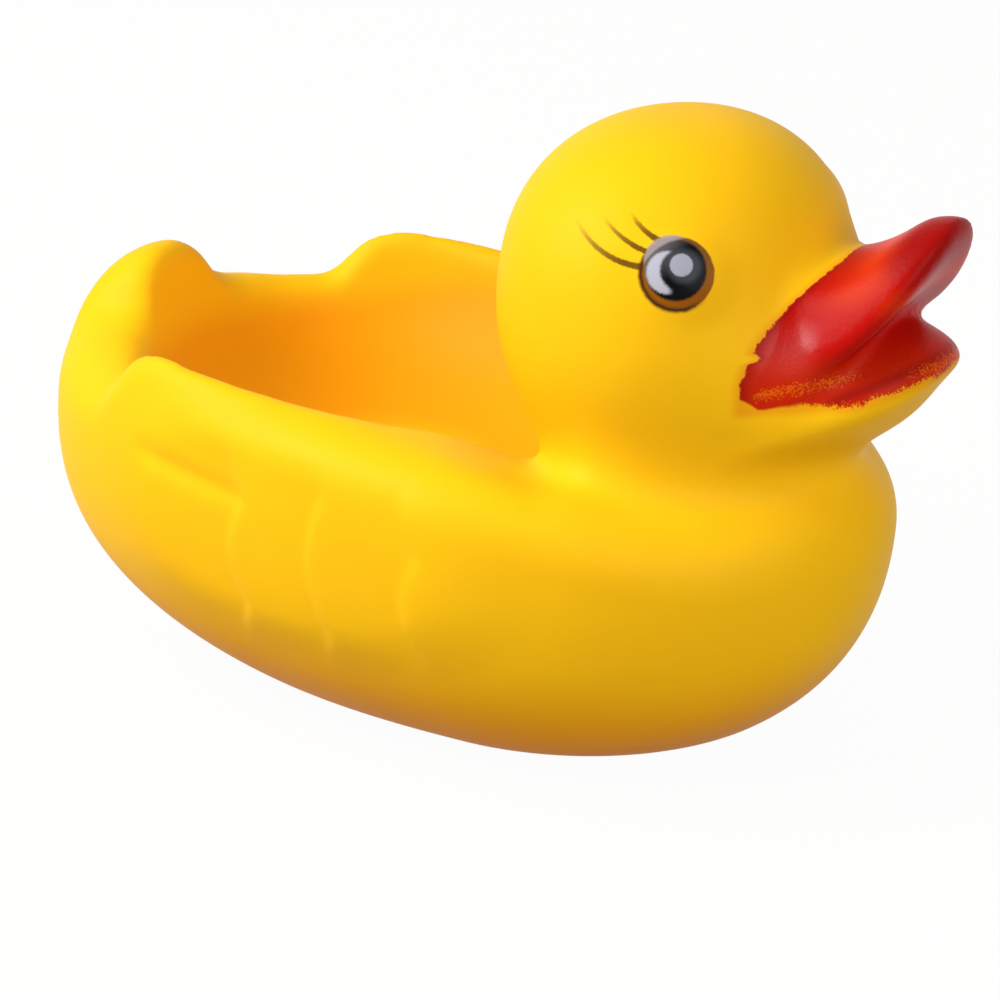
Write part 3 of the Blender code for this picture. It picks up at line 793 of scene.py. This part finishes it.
def eye_print(nodes, looks, place, x, side, z, base):
    """The printed eyes and lashes, in the plane that touches the middle of each eye, with a painted highlight
    arc, a painted sheen on the black and painted shade at the eye's foot.
    """
    mirrored = nodes.joined(x, side, z)
    u = nodes.along(mirrored, EYE_AHEAD, EYE_CENTRE)
    v = nodes.along(mirrored, EYE_UP, EYE_CENTRE)
    near = nodes.along(mirrored, EYE_OUT, EYE_CENTRE).step(-8.0, -7.0)
    wobble = (nodes.noise(place, 0.8, 2.0) - 0.5) * 0.25
    fuzz = (nodes.noise(place, 0.25, 1.0) - 0.5) * 0.3
    inked = None
    paled = None
    for arc, start, end, width in LASHES:
        off = abs(outside(u, v, arc) + wobble * 0.5)
        across, up = end[0] - start[0], end[1] - start[1]
        run = ((u - start[0]) * across + (v - start[1]) * up) / (across**2 + up**2)
        thickness = (1.0 - run * 0.5) * width
        stroke = (thickness - off + fuzz * 0.7).step(-0.15, 0.15)
        stroke = stroke * run.step(-0.12, -0.05) * run.step(1.05, 0.6)
        faded = stroke * run.step(0.15, 1.0)
        inked = stroke if inked is None else inked.most(stroke)
        paled = faded if paled is None else paled.most(faded)
    lash = nodes.mixed(looks.lash, looks.lash_tip, paled)
    colour = nodes.mixed(base, lash, inked * near * 0.92)
    rim = outside(u, v, IRIS) + wobble
    inside = rim.step(0.15, -0.15) * near
    gold = nodes.mixed(looks.iris, looks.iris_dark, (u * 0.3 + v * 0.95).step(1.5, 5.5) * 0.8)
    colour = nodes.mixed(colour, gold, inside)
    # The dark brown edge is print, widened behind and below by painted shade at the foot of the eye's dome
    outline = rim.hump(-0.1, 0.6) * (u * -0.75 - v * 0.66).step(-1.5, 2.0)
    colour = nodes.mixed(colour, looks.outline, outline * near * 0.92)
    dark = (outside(u, v, PUPIL) + fuzz).step(0.25, -0.25) * near
    # Painted sheen: the black of the pupil turns grey towards the lit upper side
    grey = nodes.mixed(looks.pupil, looks.pupil_sheen, (v * 0.55 - u * 0.83).step(0.6, 4.6))
    colour = nodes.mixed(colour, grey, dark)
    crescent = (outside(u, v, CRESCENT) + fuzz).step(0.2, -0.3) * u.step(-0.3, -1.4)
    crescent = crescent * (outside(u, v, CRESCENT_INSIDE) + fuzz).step(-0.3, 0.25)
    colour = nodes.mixed(colour, looks.glint, crescent * near)
    # Painted highlight: a pinkish grey arc over the upper side of the eye's dome
    pale = (outside(u, v, HIGHLIGHT_INSIDE) + wobble * 0.5).step(-0.2, 0.25)
    pale = pale * (outside(u, v, HIGHLIGHT_EDGE) + wobble * 0.5).step(0.15, -0.15)
    colour = nodes.mixed(colour, looks.painted_highlight_arc, pale * near * 0.9)
    halo = outside(u, v, HALO).step(0.0, -1.2) * 0.35
    colour = nodes.mixed(colour, looks.glint_halo, halo * near)
    dot = (outside(u, v, DOT) + fuzz * 0.6).step(0.15, -0.15)
    colour = nodes.mixed(colour, looks.glint_dot, dot * near)
    return colour, inside


def vinyl_material(looks):
    """Soft yellow vinyl, a little uneven, with its sprayed bill and printed eyes, and painted shade that
    deepens the colour low down and in the nest.
    """
    nodes = Nodes(bpy.data.materials.new("duck_vinyl"))
    place = nodes.place()
    x, y, z = nodes.split(place)
    side = abs(y)
    clouds = nodes.noise(place, 22.0, 3.0)
    base = nodes.mixed(looks.yellow, looks.yellow_deep, (clouds - 0.35) * 1.2)
    # Painted shade: the vinyl is coloured a deeper orange low down and inside the nest
    along, across = (x - NEST_SHADE_X) / NEST_SHADE_LENGTH, side / NEST_SHADE_WIDTH
    nest = (along * along + across * across).step(1.0, 0.8) * z.step(NEST_SHADE_TOP, NEST_SHADE_TOP - 14.0)
    shade_share = (z.step(LOW_SHADE_TOP, 0.0) * 0.85).most(nest * z.step(30.0, 33.0) * 0.6)
    base = nodes.mixed(base, looks.painted_shade_orange, shade_share)
    painted_base, painted = bill_paint(nodes, looks, place, x, side, z, base)
    colour, eye = eye_print(nodes, looks, place, x, side, z, painted_base)
    orange_peel = nodes.noise(place, 1.6, 2.0) * 0.012
    uneven = nodes.noise(place, 9.0, 1.0) * 0.10
    shine = x.hump(*SHINE_X) * z.hump(*SHINE_Z) * painted
    crinkle = nodes.noise(place, 0.8, 3.0, 0.65) * (0.07 * painted + shine * 0.3)
    grain = nodes.noise(place, 0.35, 2.0)
    gloss = looks.vinyl_roughness + (grain - 0.5) * 0.06 + (clouds - 0.5) * 0.08
    gloss = gloss - painted * (looks.vinyl_roughness - looks.paint_roughness)
    gloss = gloss - eye * (looks.vinyl_roughness - looks.print_roughness)
    nodes.surface(
        Base_Color=colour,
        Roughness=gloss,
        Normal=nodes.bump(orange_peel + uneven + crinkle),
        IOR=1.46,
        Specular_IOR_Level=looks.sheen,
        Coat_Weight=shine * 0.7,
        Coat_Roughness=0.18,
    )
    return nodes.owner


def squeaker_material(looks):
    """Plain white moulded plastic with a faint turned grain."""
    nodes = Nodes(bpy.data.materials.new("squeaker_plastic"))
    place = nodes.place()
    grain = nodes.noise(place, 0.5, 2.0)
    cloud = nodes.noise(place, 5.0, 2.0)
    nodes.surface(
        Base_Color=nodes.mixed(looks.squeaker, looks.squeaker_worn, (cloud - 0.4) * 0.8),
        Roughness=0.36 + (grain - 0.5) * 0.12,
        Normal=nodes.bump(grain * 0.01),
    )
    return nodes.owner


def colour(name, description, default):
    return FloatVectorProperty(
        name=name, description=description, default=default, size=3, min=0.0, max=1.0, subtype="COLOR"
    )


def share(name, description, default):
    return FloatProperty(
        name=name, description=description, default=default, min=0.0, max=1.0, subtype="FACTOR"
    )


def length(name, description, default, least, most):
    return FloatProperty(
        name=name, description=description, default=default, min=least, max=most,
        precision=5, subtype="DISTANCE", unit="LENGTH",
    )


def angle(name, description, degrees):
    return FloatProperty(name=name, description=description, default=math.radians(degrees), subtype="ANGLE")


def power(name, description, watts):
    return FloatProperty(
        name=name, description=description, default=watts, min=0.0, subtype="POWER", unit="POWER"
    )


class BathDuckLooks(bpy.types.PropertyGroup):
    """Colours and gloss of the vinyl, paint, print and squeaker, with painted shade, glow, sheen and
    highlight among the colours.
    """

    yellow: colour("Vinyl", "Main colour of the vinyl", (0.97, 0.535, 0.006))
    yellow_deep: colour("Vinyl, deeper", "Where the vinyl is a little denser", (0.95, 0.49, 0.005))
    # Painted shade, low down and in the nest
    painted_shade_orange: colour("Vinyl, low down", "Painted shade, a deeper orange low down and in the nest", (0.88, 0.27, 0.001))
    red: colour("Bill red", "Full coat of the bill's paint", (0.47, 0.004, 0.0015))
    # Double coat at the paint's edges, and painted shade in the crease under the lower lip
    deep_red: colour("Deep red", "Double coat along its edges, with painted shade in the crease under the lower lip and darker red on the raised tip", (0.24, 0.0015, 0.001))
    # Painted glow of the bill
    painted_glow_red: colour("Red, painted glow", "Painted glow, a lighter red in the dish, at the tip and low on the bill", (0.62, 0.030, 0.001))
    thinnest: colour("Thinnest paint", "A mist of paint over the vinyl", (0.74, 0.125, 0.002))
    iris: colour("Iris", "Golden brown around the pupil", (0.30, 0.090, 0.003))
    iris_dark: colour("Iris, dark side", "Brown at the top of the iris", (0.15, 0.075, 0.020))
    # Printed edge of the eye, with painted shade at its foot
    outline: colour("Eye outline", "Dark brown printed edge of the eye, widened behind and below by painted shade", (0.045, 0.016, 0.006))
    lash: colour("Lashes", "Brown print of the lashes", (0.10, 0.040, 0.003))
    lash_tip: colour("Lash tips", "Thin print at the ends of the lashes", (0.42, 0.24, 0.010))
    # Painted highlight on the eye's dome
    painted_highlight_arc: colour("Pale arc", "Painted highlight, a pinkish grey arc on the eye's dome", (0.36, 0.29, 0.29))
    pupil: colour("Pupil", "Black of the eye", (0.002, 0.002, 0.0025))
    # Painted sheen on the pupil's upper side
    pupil_sheen: colour("Pupil, grey side", "Painted sheen, the black turning grey towards the lit upper side", (0.11, 0.10, 0.105))
    glint: colour("Glints", "Printed crescent in the eye", (0.46, 0.46, 0.53))
    glint_dot: colour("Dot", "Printed dot in the eye", (0.35, 0.36, 0.43))
    glint_halo: colour("Glint halo", "Soft grey around the printed light", (0.12, 0.14, 0.17))
    squeaker: colour("Squeaker", "White plastic", (0.80, 0.80, 0.77))
    squeaker_worn: colour("Squeaker, yellowed", "Slightly aged plastic", (0.74, 0.73, 0.66))
    vinyl_roughness: share("Vinyl roughness", "Satin of the bare vinyl", 0.48)
    paint_roughness: share("Paint roughness", "Gloss of the bill", 0.36)
    print_roughness: share("Print roughness", "Gloss of the eyes", 0.25)
    sheen: share("Sheen", "Strength of the reflections", 0.07)


class BathDuckSizes(bpy.types.PropertyGroup):
    """Fineness of the skin, and the squeaker's edges."""

    fineness: length("Skin fineness", "Length of the skin's faces", 0.0008, 0.0005, 0.003)
    squeaker_segments: IntProperty(
        name="Squeaker segments", description="Flats round the squeaker", default=72, min=16, max=128
    )
    squeaker_edge: length("Squeaker edge", "Rounding of the squeaker's edges", 0.00025, 0.0, 0.0005)


class BathDuckStudio(bpy.types.PropertyGroup):
    """Camera, lamps and backdrop."""

    azimuth: angle("Azimuth", "Camera's turn round the duck", 30.0)
    elevation: angle("Elevation", "Camera's height angle", 22.0)
    distance: length("Distance", "Camera to aim point", 0.60, 0.1, 5.0)
    aim_height: length("Aim height", "Height the camera looks at", 0.0287, 0.0, 0.2)
    lens: FloatProperty(name="Lens", description="Focal length in millimetres", default=142.0, min=1.0)
    key: power("Key lamp", "Power of the large soft lamp", 8.9)
    fill: power("Fill lamp", "Power of the second soft lamp", 4.9)
    sky: share("Room light", "Even white light from all round", 0.24)


class BathDuckSkin(bpy.types.Operator):
    """Models the vinyl skin in fine faces around the CAD skin's cavity and bore"""

    bl_idname = "bath_duck.skin"
    bl_label = "Vinyl skin"

    def execute(self, context):
        skin = outer_form("soft_vinyl_skin")
        fineness = context.scene.bath_duck_sizes.fineness
        add_modifier(skin, "fine_faces", "REMESH", mode="VOXEL", voxel_size=fineness)
        settle(skin.data, Duck(), ROW_SHIFT)
        add_modifier(skin, "ease_edges", "SMOOTH", iterations=VISUAL_EASE_ROUNDS)
        cutter = cavity_cutter()
        add_modifier(skin, "hollow", "BOOLEAN", operation="DIFFERENCE", object=cutter, solver="EXACT")
        bpy.data.objects.remove(cutter)
        take_up(skin)
        bpy.ops.object.shade_smooth_by_angle(angle=math.radians(45.0))
        finish(skin, "duck_skin", vinyl_material(context.scene.bath_duck_looks))
        return {"FINISHED"}


class BathDuckSqueaker(bpy.types.Operator):
    """Models the squeaker with its flange, barbed barrel and air hole"""

    bl_idname = "bath_duck.squeaker"
    bl_label = "Squeaker"

    def execute(self, context):
        sizes = context.scene.bath_duck_sizes
        low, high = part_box("squeaker")
        deselect()
        bpy.ops.mesh.primitive_cylinder_add(
            vertices=sizes.squeaker_segments, radius=high.x, depth=FLANGE_THICKNESS,
            location=(0.0, 0.0, low.z + FLANGE_THICKNESS / 2.0), end_fill_type="NGON",
        )
        squeaker = bpy.context.object
        squeaker.name = squeaker.data.name = "air_valve"
        bpy.ops.object.transform_apply(location=True, rotation=False, scale=False)
        select_faces(squeaker, [p.normal.z > 0.9 for p in squeaker.data.polygons])
        rise = high.z - low.z - FLANGE_THICKNESS - BARB_LENGTH
        bpy.ops.mesh.inset(thickness=high.x - BARREL_RADIUS)
        bpy.ops.mesh.extrude_region_move(TRANSFORM_OT_translate={"value": (0.0, 0.0, rise)})
        bpy.ops.mesh.extrude_region_move()
        barb = (BARREL_RADIUS + BARB_REACH) / BARREL_RADIUS
        bpy.ops.transform.resize(value=(barb, barb, 1.0))
        bpy.ops.mesh.extrude_region_move(TRANSFORM_OT_translate={"value": (0.0, 0.0, BARB_LENGTH)})
        bpy.ops.transform.resize(value=(1.0 / barb, 1.0 / barb, 1.0))
        bpy.ops.mesh.inset(thickness=BARREL_RADIUS - AIR_HOLE_RADIUS)
        bpy.ops.object.mode_set(mode="OBJECT")
        faces = squeaker.data.polygons
        select_faces(squeaker, [p.normal.z < -0.9 and p.center.z < low.z + MERGE_DISTANCE for p in faces])
        bpy.ops.mesh.inset(thickness=high.x - AIR_HOLE_RADIUS)
        bpy.ops.object.mode_set(mode="OBJECT")
        top = high.z - MERGE_DISTANCE
        discs = [p.normal.z > 0.9 and p.center.z > top and len(p.vertices) > 4 for p in faces]
        select_faces(squeaker, [p.select or disc for p, disc in zip(faces, discs)])
        bpy.ops.mesh.bridge_edge_loops()
        bpy.ops.mesh.select_all(action="SELECT")
        bpy.ops.mesh.normals_make_consistent(inside=False)
        bpy.ops.object.mode_set(mode="OBJECT")
        add_modifier(
            squeaker, "edges", "BEVEL", width=sizes.squeaker_edge, segments=3,
            limit_method="ANGLE", angle_limit=math.radians(40.0),
        )
        take_up(squeaker)
        bpy.ops.object.shade_smooth_by_angle(angle=math.radians(30.0))
        finish(squeaker, "squeaker", squeaker_material(context.scene.bath_duck_looks))
        return {"FINISHED"}


def soft_lamp(name, power, size, azimuth, elevation, distance, aim):
    """A square lamp that looks at the aim point from a turn and a height in degrees."""
    turn, height = math.radians(azimuth), math.radians(elevation)
    back = Vector((math.sin(turn) * math.cos(height), -math.cos(turn) * math.cos(height), math.sin(height)))
    deselect()
    bpy.ops.object.light_add(type="AREA", location=aim + back * distance)
    lamp = bpy.context.object
    lamp.name = name
    lamp.rotation_euler = back.to_track_quat("Z", "Y").to_euler()
    lamp.data.energy = power
    lamp.data.size = size
    return lamp


def seen_rays(nodes):
    """1 where the camera looks, straight or by a reflection or through a clear thing."""
    path = nodes.add("ShaderNodeLightPath").socket.node.outputs
    seen = Value(nodes, path["Is Camera Ray"]).most(Value(nodes, path["Is Glossy Ray"]))
    return seen.most(Value(nodes, path["Is Transmission Ray"]))


def white_for_camera(nodes, strength, share):
    """Mixes plain white light into a surface for the camera and for reflections, and keeps its shadows."""
    seen = seen_rays(nodes)
    white = nodes.add("ShaderNodeEmission", None, {"Color": (1.0, 1.0, 1.0), "Strength": strength})
    out = nodes.tree.nodes["Material Output"]
    mix = nodes.add("ShaderNodeMixShader", None, {0: seen * share, 1: nodes.shader.outputs["BSDF"], 2: white})
    nodes.feed(out.inputs["Surface"], mix)


class BathDuckStage(bpy.types.Operator):
    """Sets out the pale floor, the white room, the lamps and the camera"""

    bl_idname = "bath_duck.stage"
    bl_label = "Studio"

    def execute(self, context):
        studio = context.scene.bath_duck_studio
        scene = context.scene
        deselect()
        bpy.ops.mesh.primitive_plane_add(size=FLOOR_SIZE, location=(0.0, 0.0, FLOOR_DROP))
        floor = bpy.context.object
        floor.name = "pale_floor"
        bpy.ops.object.transform_apply(location=True, rotation=False, scale=False)
        nodes = Nodes(bpy.data.materials.new("pale_floor"))
        nodes.surface(Base_Color=FLOOR_COLOUR, Roughness=0.6)
        white_for_camera(nodes, 1.05, 0.92)
        floor.data.materials.append(nodes.owner)

        scene.world = bpy.data.worlds.new("white_room")
        room = Nodes(scene.world)
        strength = room.add("ShaderNodeMix", None, {0: seen_rays(room), 2: studio.sky, 3: 1.0})
        background = room.tree.nodes["Background"].inputs
        room.feed(background["Color"], (1.0, 1.0, 1.0))
        room.feed(background["Strength"], strength)

        aim = Vector((0.0, 0.0, studio.aim_height))
        soft_lamp("key_lamp", studio.key, 0.55, KEY_AZIMUTH, KEY_ELEVATION, 0.85, aim)
        soft_lamp("fill_lamp", studio.fill, 0.7, FILL_AZIMUTH, FILL_ELEVATION, 1.0, aim)
        azimuth, elevation = studio.azimuth, studio.elevation
        back = Vector((
            math.sin(azimuth) * math.cos(elevation),
            -math.cos(azimuth) * math.cos(elevation),
            math.sin(elevation),
        ))
        bpy.ops.object.camera_add(location=aim + back * studio.distance)
        camera = bpy.context.object
        camera.name = "camera"
        camera.rotation_euler = back.to_track_quat("Z", "Y").to_euler()
        camera.data.lens = studio.lens
        camera.data.sensor_width = 36.0
        camera.data.clip_start = 0.01
        scene.camera = camera
        scene.view_settings.view_transform = "Standard"
        return {"FINISHED"}


class BathDuckPanel(bpy.types.Panel):
    """Lists the steps, in order, with their sizes and colours."""

    bl_idname = "VIEW3D_PT_bath_duck"
    bl_label = "Bath duck"
    bl_space_type = "VIEW_3D"
    bl_region_type = "UI"
    bl_category = "Bath duck"

    def draw(self, context):
        for steps, group in (
            (("bath_duck.skin", "bath_duck.squeaker"), context.scene.bath_duck_sizes),
            ((), context.scene.bath_duck_looks),
            (("bath_duck.stage",), context.scene.bath_duck_studio),
        ):
            box = self.layout.box()
            for step in steps:
                box.operator(step)
            for name in group.bl_rna.properties.keys():
                if name not in ("rna_type", "name"):
                    box.prop(group, name)


GROUPS = {
    "bath_duck_looks": BathDuckLooks,
    "bath_duck_sizes": BathDuckSizes,
    "bath_duck_studio": BathDuckStudio,
}
CLASSES = (*GROUPS.values(), BathDuckSkin, BathDuckSqueaker, BathDuckStage, BathDuckPanel)


def register():
    for made in CLASSES:
        bpy.utils.register_class(made)
    for name, group in GROUPS.items():
        setattr(bpy.types.Scene, name, PointerProperty(type=group))


def unregister():
    for name in GROUPS:
        delattr(bpy.types.Scene, name)
    for made in reversed(CLASSES):
        bpy.utils.unregister_class(made)


def main():
    register()
    bpy.ops.bath_duck.skin()
    bpy.ops.bath_duck.squeaker()
    bpy.ops.bath_duck.stage()


if __name__ == "__main__":
    main()
